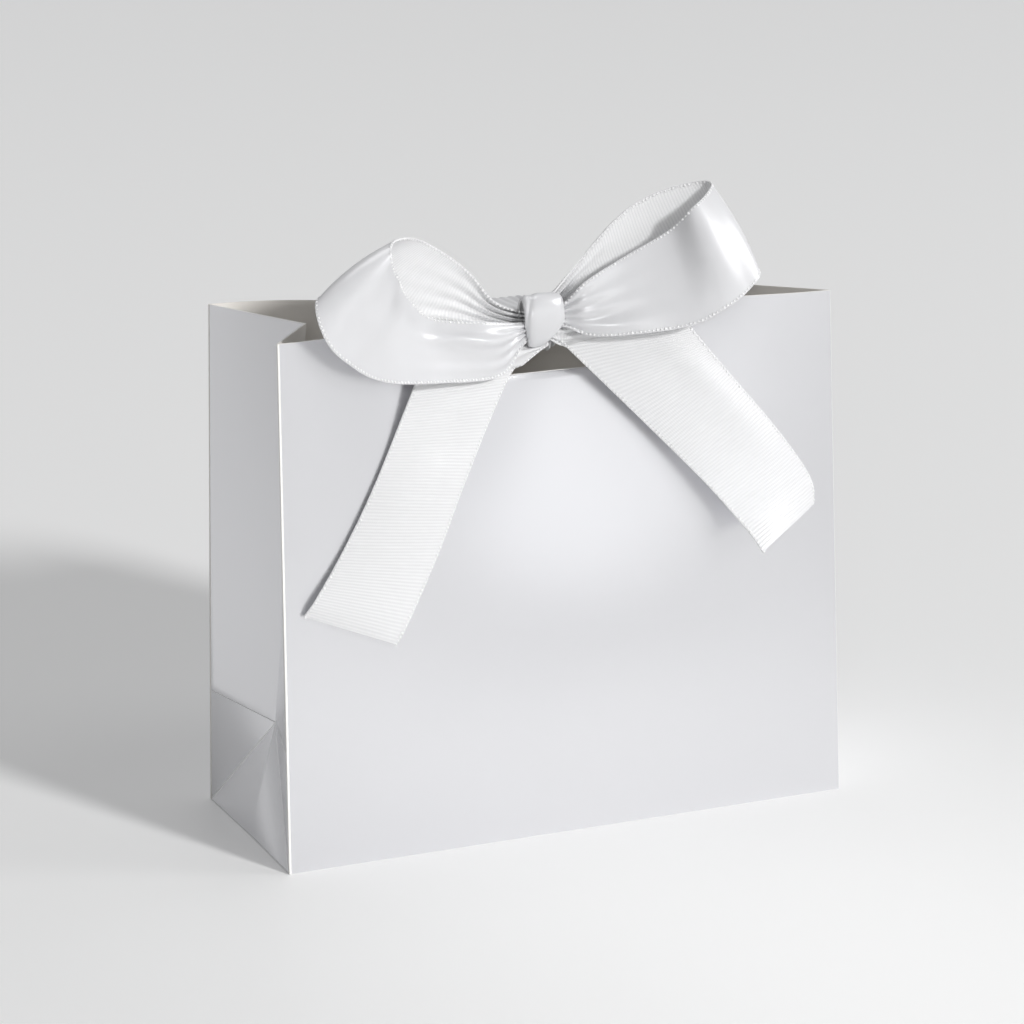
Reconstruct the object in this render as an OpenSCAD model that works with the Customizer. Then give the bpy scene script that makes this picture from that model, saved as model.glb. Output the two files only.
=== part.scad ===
// Folded card favor bag with a satin ribbon tied in a bow through its handle slots.
// Millimetres, Z up. The bag stands on z = 0 and its front faces -Y.

/* [Bag] */
// Width of the bag along the front of its base
bag_width = 114; // [106:1:130]
// Depth of the bag from front to back at its base
bag_depth = 46; // [42:1:54]
// Height of the wide panels, measured along the card
bag_height = 99; // [92:1:120]
// Thickness of the card
card = 0.4; // [0.3:0.05:0.5]

/* [Mouth] */
// How far each wide panel leans inwards at its top corners
lean = 3.5; // [3:0.25:4.5]
// How far the ribbon draws each wide panel inwards at the middle of its top edge
draw = 14; // [13:0.5:14.5]
// How far up the panel the drawn-in curve begins; a higher number begins it nearer the top
draw_power = 2.8; // [2.6:0.1:3]
// How far the top corners come in along the width
corner_in = 1.6; // [1:0.1:2.5]

/* [Handle slots] */
// Width of the slot cut in each wide panel
slot_width = 30; // [26:1:36]
// Height of the slot
slot_height = 6; // [5.5:0.25:7]
// Height of the strip of card left above the slot
strip_height = 5; // [4.5:0.25:5.5]

/* [Base] */
// Length of the front and rear base flaps
base_flap = 34; // [28:1:38]
// Length of the two side base flaps, which lie inside
side_flap = 24; // [16:1:32]
// Width of the glue flap behind the front panel's left edge
glue_flap = 10; // [8:0.5:14]

/* [Ribbon] */
// Width of the ribbon
ribbon_width = 20; // [18:0.5:21]
// Thickness of the ribbon
ribbon = 0.4; // [0.3:0.05:0.5]
// Width of the gathered ribbon where it goes round the two strips
gathered = 9; // [7:0.5:11]
// Width of the knot
knot_width = 7.2; // [6:0.2:8]
// Depth of the knot from front to back
knot_depth = 6; // [5:0.25:7]
// Height of the knot
knot_height = 10; // [9:0.5:11]

/* [Hidden] */
$fn = 48;
// Clearance between pieces that turn against each other
gap = 0.3;
// Inner half depth, which is also the width of one gusset half
half = bag_depth / 2 - card;
// Points along each ribbon span
steps = 5;

// Wide panel: u runs from -1 to 1 across it and s from 0 to 1 up it
function middle(u) = pow(cos(90 * u), 2);
function panel_x(u, s) = u * (bag_width / 2 - corner_in * s);
function panel_out(u, s) = bag_depth / 2 - lean * s - draw * middle(u) * pow(s, draw_power);
function panel_drop(u, s) = let (d = draw * middle(u))
  (lean * lean * s + 2 * lean * d * pow(s, draw_power)
    + pow(d * draw_power, 2) * pow(s, 2 * draw_power - 1) / (2 * draw_power - 1)) / (2 * bag_height);
function panel_z(u, s) = bag_height * s - panel_drop(u, s);
function panel(u, s, inside) = [panel_x(u, s), inside - panel_out(u, s), panel_z(u, s)];

// Where the strip and the slot begin, as shares of the panel's height
s_strip = 1 - strip_height / bag_height;
s_slot = 1 - (strip_height + slot_height) / bag_height;

// Inner corner line and mid crease of the left gusset's front half
function corner(s) = [corner_in * s - bag_width / 2 + card, lean * s - half, panel_z(1, s)];
lean_angle = atan(lean / bag_height);
gore_z = half * tan(45 - lean_angle / 2);
gore_in = sqrt(half * half - gore_z * gore_z);
gore = [card - bag_width / 2 + gore_in, 0, gore_z];
peak_in = sqrt(half * half - pow(half - lean, 2));
peak_x = corner(1)[0] + peak_in;
peak_rise = sqrt(pow(bag_height - half, 2) - pow(peak_x - gore[0], 2));
peak = [peak_x, 0, gore_z + peak_rise];
shelf = corner(half / bag_height);
foot = [card - bag_width / 2, -half, 0.1];
gusset_angle = atan2(peak_in, half - lean);

// Middle of the knot
knot = [-1, -panel_out(0, s_strip) - 0.9 - ribbon - knot_depth / 2, panel_z(0, 1) + 0.2];

function mix(a, b, t) = a + (b - a) * t;
// Smooth curve through a list of points
function on_span(p, i, t) = let (
    a = p[max(i - 1, 0)],
    b = p[i],
    c = p[i + 1],
    d = p[min(i + 2, len(p) - 1)])
  0.5 * (2 * b + (c - a) * t + (2 * a - 5 * b + 4 * c - d) * t * t + (3 * b - a - 3 * c + d) * t * t * t);
function curve(p) = [
  for (i = [0 : len(p) - 2]) each [for (k = [0 : steps - 1]) on_span(p, i, k / steps)],
  p[len(p) - 1]];

// Closed sheet between two grids of points that lie one behind the other
module sheet(near, far) {
  rows = len(near);
  cols = len(near[0]);
  n = rows * cols;
  points = concat([for (r = near) each r], [for (r = far) each r]);
  face = [for (r = [0 : rows - 2], c = [0 : cols - 2]) let (a = r * cols + c, b = a + cols)
    each [[a, b, b + 1], [a, b + 1, a + 1]]];
  rim = [for (c = [0 : cols - 2]) c,
    for (r = [0 : rows - 2]) r * cols + cols - 1,
    for (c = [cols - 1 : -1 : 1]) (rows - 1) * cols + c,
    for (r = [rows - 1 : -1 : 1]) r * cols];
  m = len(rim);
  side = [for (i = [0 : m - 1]) let (a = rim[i], b = rim[(i + 1) % m])
    each [[a, b, b + n], [a, b + n, a + n]]];
  back = [for (f = face) [f[0] + n, f[2] + n, f[1] + n]];
  polyhedron(points, concat(face, back, side));
}

// Wide panel in the front's place, from its outer face inwards
module wide_panel() {
  cols = 28;
  rows = 18;
  outer = [for (r = [0 : rows]) [for (c = [0 : cols]) panel(2 * c / cols - 1, r / rows, 0)]];
  inner = [for (r = [0 : rows]) [for (c = [0 : cols]) panel(2 * c / cols - 1, r / rows, card)]];
  low = panel_z(0, s_slot);
  high = panel_z(0, s_strip);
  r = (high - low) / 2;
  difference() {
    sheet(outer, inner);
    translate([0, -1, 0]) rotate([90, 0, 0]) linear_extrude(bag_depth / 2) union() {
      translate([r - slot_width / 2, low]) square([slot_width - 2 * r, 2 * r]);
      translate([r - slot_width / 2, low + r]) circle(r);
      translate([slot_width / 2 - r, low + r]) circle(r);
    }
  }
}

// Card sheet over four corners, thickened along a vector
module quad_sheet(p, q, r, t, v, rows = 6, cols = 3) {
  near = [for (i = [0 : rows]) [for (k = [0 : cols])
    mix(mix(p, q, k / cols), mix(t, r, k / cols), i / rows)]];
  sheet([for (row = near) [for (g = row) g + v]], near);
}

// Front half of the left gusset above the horizontal crease, then its place on either side
module gusset_half() {
  v = card * [-cos(gusset_angle), sin(gusset_angle), 0];
  a = 0.5 / half;
  b = 1 - 0.45 / half;
  low = [0, 0, 0.3];
  quad_sheet(mix(shelf, gore, a) + low, mix(shelf, gore, b) + low,
    mix(corner(1), peak, b), mix(corner(1), peak, a), v);
}

// Lower corner of the left gusset, between the front panel's edge and the diagonal crease
module gusset_corner() {
  v = card * [-1, 0, 0];
  heel = foot + [0, 0.5, 1.3];
  quad_sheet(heel, heel + [0.1, 0.3, 0.35], mix(gore, shelf, 0.03) + [0, 0, -0.3],
    shelf + [0, 1, -0.3], v, 2, 2);
}

// Half of the triangle that leans in over the base below the diagonal creases
module gusset_gable() {
  v = card * [-1, 0, 0];
  quad_sheet(foot + [0, 0.9, 0], [foot[0], -0.1, foot[2]], mix(gore, foot, 0.03) + [0, 0.55, 0],
    mix(gore, foot, 0.04) + [0, 0.55, 0], v, 2, 2);
}

// Base flaps: the front one lies under the rear one, and the side ones lie inside both
module flap_plate(outline, z) {
  translate([0, 0, z]) linear_extrude(card) polygon(outline);
}

module front_flap() {
  x = bag_width / 2 - card - 0.2;
  y = half - gap;
  flap_plate([[-x, -y], [x, -y], [x - 3, base_flap - half], [3 - x, base_flap - half]], 0);
}

module rear_flap() {
  x = bag_width / 2 - card - 0.2;
  y = half - gap;
  edge = base_flap - half + 0.5;
  lap = half - base_flap;
  translate([-x, 0, 0]) rotate([90, 0, 90]) linear_extrude(2 * x)
    polygon([[y, 0], [y, card], [edge + card, card], [edge + card, 2 * card], [lap, 2 * card],
      [lap, card], [edge, card], [edge, 0]]);
}

module side_flap_plate() {
  x = bag_width / 2 - card - 0.9;
  y = half - gap - 0.9;
  flap_plate([[-x, -y], [-x, y], [side_flap - x, y - 9], [side_flap - x, 9 - y]], 2 * card);
}

// Ribbon strip between two edge curves
module strip(a, b) {
  n = len(a) - 1;
  normal = [for (i = [0 : n]) let (
      along = a[min(i + 1, n)] + b[min(i + 1, n)] - a[max(i - 1, 0)] - b[max(i - 1, 0)],
      c = cross(along, b[i] - a[i]))
    c / norm(c) * ribbon / 2];
  sheet([for (i = [0 : n]) [a[i] - normal[i], b[i] - normal[i]]],
    [for (i = [0 : n]) [a[i] + normal[i], b[i] + normal[i]]]);
}

// Ribbon along edge points measured from the knot; the bow grows with the ribbon's width
module ribbon_strip(first, second) {
  k = ribbon_width / 20;
  strip(curve([for (p = first) knot + k * p]), curve([for (p = second) knot + k * p]));
}

// Lower and upper edges of the left loop, from the knot round the loop and back
left_loop_low = [[-4.2, -1, -4.2], [-9.7, -3.5, -9.1], [-23.6, -8.5, -8], [-35.8, -12.5, -5.8],
  [-44.1, -14.5, -1.3], [-48.1, -14.5, 4], [-48.4, -11.5, 9.6], [-42.5, -5.5, 8.5],
  [-32, -2, 4], [-19, 0.5, 1.4], [-10, 1, -0.6], [-4.2, 1.2, -2]];
left_loop_high = [[-4.2, -1.2, 0], [-12, -2.6, 1.2], [-22.4, -2.2, 2.6], [-27.5, -4, 6.8],
  [-31.2, -6.4, 11.6], [-33, -9.3, 16], [-31.2, -6.3, 18.4], [-25.3, -1.5, 17.6],
  [-19.6, 0.7, 14.6], [-13.3, 1.9, 9.6], [-8.8, 1.9, 4], [-4.2, 1.9, 1.8]];

// Lower and upper edges of the right loop
right_loop_low = [[4.2, -1, -1.4], [8.9, -3.5, -3.2], [17.5, -7.5, -2.8], [26.6, -10.5, -1.4],
  [33.1, -11.5, 1.6], [37.7, -10.5, 4.1], [41, -8.5, 6.7], [39.5, -4.5, 7.2],
  [30, -1, 6], [19.5, 1.5, 4], [4.2, 1.5, 0]];
right_loop_high = [[4.2, -1.2, 3], [7.6, -3, 7], [16.3, -1, 10.5], [26.1, 0, 14.6],
  [30, -1.6, 18.7], [33.5, 0.2, 20.4], [36.5, 3.3, 22.2], [35, 6.5, 22.2],
  [26.5, 8.5, 20], [17.8, 7.5, 15.5], [4.2, 2.5, 5]];

// Left and right edges of each tail below its bend, and of its root between knot and bend
left_tail_left = [[-28.3, -6.1, -10.2], [-36, -8.6, -24.5], [-44.2, -10.6, -37.9], [-51.7, -12.6, -48]];
left_tail_right = [[-6.9, -0.3, -10.9], [-18.1, -6.6, -27.2], [-25.1, -9.1, -40.6], [-34, -12.1, -55.3]];
left_root_left = [[-3.4, 0.2, -5.5], [-15, -2, -6.5], [-27.8, -5.8, -9.5]];
left_root_right = [[1.5, 0.2, -5.5], [-2, 0.4, -8], [-6.8, 0, -10.3]];
right_tail_right = [[28.2, -5.5, -2.9], [35.1, -6.4, -11.5], [44.7, -8.8, -23.5], [51.1, -9.8, -32.9], [52.1, -11, -38.3]];
right_tail_left = [[5, -0.3, -5.7], [18.5, -8, -20.8], [27.3, -14.1, -31.1], [33.7, -16.9, -39.3], [35.8, -21.4, -43.3]];
right_root_right = [[3.9, 0.3, -2.2], [14, -1.5, -0.6], [24.5, -4.6, 0]];
right_root_left = [[3.9, 0.3, -5.2], [15, -2.1, -3.7], [27.5, -5.2, -2.2]];

module front_panel() {
  color([0.78, 0.78, 0.82]) wide_panel();
}

module back_panel() {
  color([0.78, 0.78, 0.82]) rotate(180) wide_panel();
}

module seam_flap() {
  rows = 10;
  cols = 4;
  start = bag_width / 2 - 1.8;
  far = start - glue_flap;
  function at(c, r, depth) = let (s = 0.03 + 0.95 * r / rows)
    panel(-mix(start, far, c / cols) / (bag_width / 2), s, depth);
  color([0.95, 0.94, 0.9]) sheet(
    [for (r = [0 : rows]) [for (c = [0 : cols]) at(c, r, card + 0.12)]],
    [for (r = [0 : rows]) [for (c = [0 : cols]) at(c, r, 2 * card + 0.12)]]);
}

module left_gusset_front() {
  color([0.72, 0.72, 0.76]) gusset_half();
}

module left_gusset_rear() {
  color([0.72, 0.72, 0.76]) mirror([0, 1, 0]) gusset_half();
}

module right_gusset_front() {
  color([0.72, 0.72, 0.76]) mirror([1, 0, 0]) gusset_half();
}

module right_gusset_rear() {
  color([0.72, 0.72, 0.76]) rotate(180) gusset_half();
}

module left_corner_front() {
  color([0.66, 0.66, 0.7]) gusset_corner();
}

module left_corner_rear() {
  color([0.66, 0.66, 0.7]) mirror([0, 1, 0]) gusset_corner();
}

module right_corner_front() {
  color([0.66, 0.66, 0.7]) mirror([1, 0, 0]) gusset_corner();
}

module right_corner_rear() {
  color([0.66, 0.66, 0.7]) rotate(180) gusset_corner();
}

module left_gable_front() {
  color([0.6, 0.6, 0.64]) gusset_gable();
}

module left_gable_rear() {
  color([0.6, 0.6, 0.64]) mirror([0, 1, 0]) gusset_gable();
}

module right_gable_front() {
  color([0.6, 0.6, 0.64]) mirror([1, 0, 0]) gusset_gable();
}

module right_gable_rear() {
  color([0.6, 0.6, 0.64]) rotate(180) gusset_gable();
}

module base_front_flap() {
  color([0.74, 0.74, 0.78]) front_flap();
}

module base_rear_flap() {
  color([0.74, 0.74, 0.78]) rear_flap();
}

module base_left_flap() {
  color([0.95, 0.94, 0.9]) side_flap_plate();
}

module base_right_flap() {
  color([0.95, 0.94, 0.9]) mirror([1, 0, 0]) side_flap_plate();
}

// Gathered ribbon round the two strips of card, through both slots
module ribbon_sling() {
  low = panel_z(0, s_strip) - 1.2;
  high = panel_z(0, 1) + 1.4;
  y_low = panel_out(0, s_strip) + 0.85;
  y_high = panel_out(0, 1) + 0.85;
  t = ribbon;
  color([0.96, 0.96, 0.97]) translate([knot[0] - gathered / 2, 0, 0]) rotate([90, 0, 90])
    linear_extrude(gathered) difference() {
      polygon([[1 - y_low, low - t], [y_low - 1, low - t], [y_low + t, low + 1 - t],
        [y_high + t, high - 1 + t], [y_high - 1, high + t], [1 - y_high, high + t],
        [-y_high - t, high - 1 + t], [-y_low - t, low + 1 - t]]);
      polygon([[1 - y_low, low], [y_low - 1, low], [y_low, low + 1],
        [y_high, high - 1], [y_high - 1, high], [1 - y_high, high],
        [-y_high, high - 1], [-y_low, low + 1]]);
    }
}

module ribbon_knot() {
  r = 2.4;
  y = knot_depth / 2 - r;
  z = knot_height / 2 - r;
  color([0.97, 0.97, 0.98]) translate(knot) rotate([0, 90, 0]) {
    translate([0, 0, -knot_width / 2]) linear_extrude(knot_width) union() {
      square([2 * z, 2 * y + 2 * r], center = true);
      square([2 * z + 2 * r, 2 * y], center = true);
      for (a = [-1, 1], b = [-1, 1]) translate([a * z, b * y]) circle(r);
    }
  }
}

module left_loop() {
  color([0.97, 0.97, 0.98]) ribbon_strip(left_loop_low, left_loop_high);
}

module right_loop() {
  color([0.97, 0.97, 0.98]) ribbon_strip(right_loop_low, right_loop_high);
}

module left_tail_root() {
  color([0.95, 0.95, 0.96]) ribbon_strip(left_root_left, left_root_right);
}

module left_tail() {
  color([0.97, 0.97, 0.98]) ribbon_strip(left_tail_left, left_tail_right);
}

module right_tail_root() {
  color([0.95, 0.95, 0.96]) ribbon_strip(right_root_right, right_root_left);
}

module right_tail() {
  color([0.97, 0.97, 0.98]) ribbon_strip(right_tail_right, right_tail_left);
}

front_panel();
back_panel();
seam_flap();
left_gusset_front();
left_gusset_rear();
right_gusset_front();
right_gusset_rear();
left_corner_front();
left_corner_rear();
right_corner_front();
right_corner_rear();
left_gable_front();
left_gable_rear();
right_gable_front();
right_gable_rear();
base_front_flap();
base_rear_flap();
base_left_flap();
base_right_flap();
ribbon_sling();
ribbon_knot();
left_loop();
right_loop();
left_tail_root();
left_tail();
right_tail_root();
right_tail();
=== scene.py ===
import math
import bmesh
import bpy
import numpy as np
from mathutils import Matrix, Vector


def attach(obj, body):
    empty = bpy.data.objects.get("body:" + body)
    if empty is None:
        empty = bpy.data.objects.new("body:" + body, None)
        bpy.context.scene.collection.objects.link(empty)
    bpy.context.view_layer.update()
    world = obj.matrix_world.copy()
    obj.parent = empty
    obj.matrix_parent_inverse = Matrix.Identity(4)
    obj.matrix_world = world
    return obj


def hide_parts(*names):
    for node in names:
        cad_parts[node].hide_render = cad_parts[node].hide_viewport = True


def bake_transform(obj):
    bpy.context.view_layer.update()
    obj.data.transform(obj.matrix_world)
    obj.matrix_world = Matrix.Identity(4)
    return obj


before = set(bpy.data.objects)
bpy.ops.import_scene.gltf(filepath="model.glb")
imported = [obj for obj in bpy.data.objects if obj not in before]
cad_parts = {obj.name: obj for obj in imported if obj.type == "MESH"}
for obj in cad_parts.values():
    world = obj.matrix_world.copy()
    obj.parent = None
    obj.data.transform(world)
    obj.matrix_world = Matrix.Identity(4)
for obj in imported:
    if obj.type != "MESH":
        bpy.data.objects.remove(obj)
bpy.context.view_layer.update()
millimetre = 0.001
print("frame loaded")


# Camera and studio
studio = {
    "azimuth": -22.880,
    "elevation": 15.077,
    "roll": -0.554,
    "distance": 698.05,
    "target": (-2.2, 0.0, 57.254),
    "lens": 128.485,
    "sensor": 36.0,
    "clipStart": 0.01,
    "floorSize": 9.0,
    "floorColour": (0.95, 0.95, 0.948),
    "floorGlow": 0.07,
    "floorRoughness": 0.5,
    "floorSpecular": 0.35,
    "worldColour": (0.985, 0.99, 1.0),
    "worldLevel": 0.27,
    "roomSeen": 0.58,
    "rightBrighter": 0.5,
    "keyFrom": (0.364, -0.833, 0.415),
    "keyAngle": 7.0,
    "keyPower": 2.15,
    "sheenPlace": (1.25, -0.65, 1.15),
    "sheenSize": 0.5,
    "sheenPower": 3.2,
    "frontPlace": (0.35, -1.9, 0.40),
    "frontSize": 1.5,
    "frontPower": 1.8,
    "creasePlace": (-0.62, -1.25, 0.46),
    "creaseSize": 0.25,
    "creasePower": 1.3,
    "topPlace": (0.10, 0.25, 1.30),
    "topSize": 0.6,
    "topPower": 0.9,
    "poolPlace": (0.06, -0.42, 0.62),
    "poolAim": (0.03, -0.12, 0.0),
    "poolPower": 4.0,
    "poolAngle": 22.0,
    "poolSoft": 0.06,
    "lampAim": (0, 0, 0.06),
}


def makeCamera(settings):
    az = math.radians(settings["azimuth"])
    el = math.radians(settings["elevation"])
    roll = math.radians(settings["roll"])
    back = Vector((math.sin(az) * math.cos(el), -math.cos(az) * math.cos(el), math.sin(el)))
    across = Vector((0, 0, 1)).cross(back).normalized()
    upright = back.cross(across)
    right = math.cos(roll) * across + math.sin(roll) * upright
    up = math.cos(roll) * upright - math.sin(roll) * across
    place = (Vector(settings["target"]) + back * settings["distance"]) * millimetre
    data = bpy.data.cameras.new("photoCamera")
    data.sensor_width = settings["sensor"]
    data.lens = settings["lens"]
    data.clip_start = settings["clipStart"]
    camera = bpy.data.objects.new("photoCamera", data)
    turned = Matrix((right, up, back)).transposed().to_4x4()
    camera.matrix_world = Matrix.Translation(place) @ turned
    bpy.context.collection.objects.link(camera)
    bpy.context.scene.camera = camera


def placeLamp(data, place, aim):
    lamp = bpy.data.objects.new(data.name, data)
    lamp.location = place
    lamp.rotation_euler = (Vector(aim) - Vector(place)).to_track_quat("-Z", "Y").to_euler()
    bpy.context.collection.objects.link(lamp)
    return lamp


# Distant soft key from the front right, which lays the long shadow
def makeKey(settings):
    data = bpy.data.lights.new("keyLamp", "SUN")
    data.energy = settings["keyPower"]
    data.angle = math.radians(settings["keyAngle"])
    placeLamp(data, settings["keyFrom"], (0, 0, 0)).visible_glossy = False


# Broad lamps: shine on the ribbon's folds, glow on the front, light on the left creases and from above
def makeBroad(name, place, size, power):
    data = bpy.data.lights.new(name, "AREA")
    data.shape = "DISK"
    data.size = size
    data.energy = power
    placeLamp(data, place, studio["lampAim"])


# Soft pool of light on the floor in front, which the wide panel mirrors
def makePool(settings):
    data = bpy.data.lights.new("poolLamp", "SPOT")
    data.energy = settings["poolPower"]
    data.spot_size = math.radians(settings["poolAngle"])
    data.spot_blend = 1.0
    data.shadow_soft_size = settings["poolSoft"]
    placeLamp(data, settings["poolPlace"], settings["poolAim"]).visible_glossy = False


makeCamera(studio)
bpy.context.scene.view_settings.view_transform = "Standard"
print("camera made")


# One wrapped socket: arithmetic on it adds Math nodes, and node() adds any other node
class Wire:
    def __init__(self, tree, socket=None):
        self.tree = tree
        self.socket = socket

    def node(self, kind, settings, sockets, output=0):
        made = self.tree.nodes.new(kind)
        for name, value in settings.items():
            setattr(made, name, value)
        for name, value in sockets.items():
            if isinstance(value, Wire):
                self.tree.links.new(value.socket, made.inputs[name])
            else:
                made.inputs[name].default_value = value
        return Wire(self.tree, made.outputs[output])

    def maths(self, operation, first, second=0.0):
        return self.node("ShaderNodeMath", {"operation": operation}, {0: first, 1: second})

    def __add__(self, other):
        return self.maths("ADD", self, other)

    __radd__ = __add__

    def __sub__(self, other):
        return self.maths("SUBTRACT", self, other)

    def __mul__(self, other):
        return self.maths("MULTIPLY", self, other)

    def wave(self):
        return self.maths("SINE", self)

    def mixed(self, first, second):
        sockets = {0: self, 6: (*first, 1), 7: (*second, 1)}
        return self.node("ShaderNodeMix", {"data_type": "RGBA"}, sockets, 2)


def newFinish(name, constants):
    material = bpy.data.materials.new(name)
    material.use_nodes = True
    tree = material.node_tree
    shader = tree.nodes["Principled BSDF"]
    for socket, value in constants.items():
        shader.inputs[socket].default_value = value
    return material, Wire(tree), shader


def feed(finish, shader, socket, wire):
    finish.tree.links.new(wire.socket, shader.inputs[socket])


def objectNoise(finish, scale, detail=3.0, stretch=(1, 1, 1)):
    place = finish.node("ShaderNodeTexCoord", {}, {}, 3)
    scaled = finish.node("ShaderNodeMapping", {}, {"Vector": place, "Scale": stretch})
    return finish.node("ShaderNodeTexNoise", {}, {"Vector": scaled, "Scale": scale, "Detail": detail})


def bumped(finish, height, strength, distance):
    sockets = {"Height": height, "Strength": strength, "Distance": distance}
    return finish.node("ShaderNodeBump", {}, sockets)


pearl = {
    "light": (0.95, 0.95, 0.97),
    "deep": (0.89, 0.89, 0.915),
    "metallic": 0.95,
    "roughness": 0.23,
    "cloudScale": 22.0, "grainScale": 2600.0, "dustScale": 900.0,
    "baseTone": 0.15, "cloudTone": 0.5, "grainTone": 0.15,
    "cloudRough": 0.03, "dustRough": 0.01, "dustBump": 0.02, "dustDepth": 0.00006,
}


def makePearlCard(settings):
    constants = {"Metallic": settings["metallic"], "IOR": 1.5}
    material, finish, shader = newFinish("pearlCard", constants)
    cloud = objectNoise(finish, settings["cloudScale"], detail=2.0)
    grain = objectNoise(finish, settings["grainScale"], detail=4.0)
    dust = objectNoise(finish, settings["dustScale"], detail=2.0)
    tone = cloud * settings["cloudTone"] + grain * settings["grainTone"] + settings["baseTone"]
    feed(finish, shader, "Base Color", tone.mixed(settings["deep"], settings["light"]))
    rough = settings["roughness"] + cloud * settings["cloudRough"] + dust * settings["dustRough"]
    feed(finish, shader, "Roughness", rough)
    feed(finish, shader, "Normal", bumped(finish, dust, settings["dustBump"], settings["dustDepth"]))
    return material


inside = {
    "pale": (0.91, 0.885, 0.845), "dark": (0.86, 0.83, 0.785), "roughness": 0.86,
    "fibreScale": 700.0, "fibreStretch": (1.0, 1.0, 0.35), "cloudScale": 45.0,
    "fibreRough": 0.08, "fibreBump": 0.22, "fibreDepth": 0.00008,
}


def makeInnerCard(settings):
    material, finish, shader = newFinish("innerCard", {"Specular IOR Level": 0.25})
    fibre = objectNoise(finish, settings["fibreScale"], detail=5.0, stretch=settings["fibreStretch"])
    cloud = objectNoise(finish, settings["cloudScale"], detail=3.0)
    feed(finish, shader, "Base Color", (fibre * 0.5 + cloud * 0.5).mixed(settings["dark"], settings["pale"]))
    feed(finish, shader, "Roughness", settings["roughness"] + fibre * settings["fibreRough"])
    feed(finish, shader, "Normal", bumped(finish, fibre, settings["fibreBump"], settings["fibreDepth"]))
    return material


cutCard = {
    "dark": (0.90, 0.885, 0.85), "pale": (0.97, 0.96, 0.935), "fibreScale": 2400.0,
    "roughness": 0.78, "fibreRough": 0.12, "fibreBump": 0.3, "fibreDepth": 0.0001,
}


def makeCutEdge(settings):
    material, finish, shader = newFinish("cutEdge", {"Specular IOR Level": 0.3})
    fibre = objectNoise(finish, settings["fibreScale"], detail=4.0)
    feed(finish, shader, "Base Color", fibre.mixed(settings["dark"], settings["pale"]))
    feed(finish, shader, "Roughness", settings["roughness"] + fibre * settings["fibreRough"])
    feed(finish, shader, "Normal", bumped(finish, fibre, settings["fibreBump"], settings["fibreDepth"]))
    return material


foldedCard = {
    "dark": (0.84, 0.84, 0.86), "pale": (0.96, 0.955, 0.95), "metallic": 0.6, "crackScale": 1500.0,
    "roughness": 0.42, "crackRough": 0.2, "crackBump": 0.25, "crackDepth": 0.00008,
}


# Worn line where the coated card folds
def makeFoldLine(settings):
    material, finish, shader = newFinish("foldLine", {"Metallic": settings["metallic"]})
    crack = objectNoise(finish, settings["crackScale"], detail=4.0)
    feed(finish, shader, "Base Color", crack.mixed(settings["dark"], settings["pale"]))
    feed(finish, shader, "Roughness", settings["roughness"] + crack * settings["crackRough"])
    feed(finish, shader, "Normal", bumped(finish, crack, settings["crackBump"], settings["crackDepth"]))
    return material


ribbonWidth = 20.0
satin = {
    "satinTones": ((0.74, 0.74, 0.755), (0.785, 0.785, 0.80)),
    "ribbedTones": ((0.76, 0.76, 0.77), (0.86, 0.86, 0.865)),
    "threadTones": ((0.90, 0.90, 0.905), (0.96, 0.96, 0.96)),
    "ribPitch": 0.64, "ribWaver": 0.6, "threadPitch": 0.42, "threadWaver": 2.0, "threadShare": 0.2,
    "waverScale": 420.0, "slubScale": 160.0, "slubRough": 0.08, "ribRough": 0.06, "ribDepth": 0.00012,
}


def makeRibbon(name, settings, tones, ribStrength, ribTone, roughness, shine):
    constants = {"IOR": 1.5, "Sheen Weight": 0.08, "Sheen Roughness": 0.4, "Specular IOR Level": 0.6,
                 "Metallic": shine, "Subsurface Weight": 0.5, "Subsurface Scale": 0.0008,
                 "Subsurface Radius": (1.0, 1.0, 1.0)}
    material, finish, shader = newFinish(name, constants)
    place = finish.node("ShaderNodeUVMap", {"uv_map": "weave"}, {})
    parts = finish.node("ShaderNodeSeparateXYZ", {}, {"Vector": place})
    across = Wire(finish.tree, parts.socket.node.outputs["Y"])
    waver = objectNoise(finish, settings["waverScale"], detail=2.0)
    ribsPerUnit = 2 * math.pi * ribbonWidth / settings["ribPitch"]
    threadsPerUnit = 2 * math.pi * ribbonWidth / settings["threadPitch"]
    rib = (parts * ribsPerUnit + waver * settings["ribWaver"]).wave() * 0.5 + 0.5
    thread = (across * threadsPerUnit + waver * settings["threadWaver"]).wave() * 0.5 + 0.5
    slub = objectNoise(finish, settings["slubScale"], detail=3.0)
    threadShare = settings["threadShare"]
    tone = rib * ribTone + thread * threadShare * ribTone + slub * (1 - (1 + threadShare) * ribTone)
    feed(finish, shader, "Base Color", tone.mixed(*settings[tones]))
    rough = roughness + slub * settings["slubRough"] - rib * settings["ribRough"] * ribTone
    feed(finish, shader, "Roughness", rough)
    height = rib * (1 - threadShare) + thread * threadShare
    feed(finish, shader, "Normal", bumped(finish, height, ribStrength, settings["ribDepth"]))
    return material


pearlCard = makePearlCard(pearl)
innerCard = makeInnerCard(inside)
cutEdge = makeCutEdge(cutCard)
foldLine = makeFoldLine(foldedCard)
satinFace = makeRibbon("satinFace", satin, "satinTones",
                       ribStrength=0.0, ribTone=0.0, roughness=0.27, shine=0.34)
ribbedFace = makeRibbon("ribbedFace", satin, "ribbedTones",
                        ribStrength=0.35, ribTone=0.75, roughness=0.33, shine=0.14)
selvedge = makeRibbon("selvedge", satin, "threadTones",
                      ribStrength=0.0, ribTone=0.0, roughness=0.40, shine=0.0)
print("finishes made")


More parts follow.
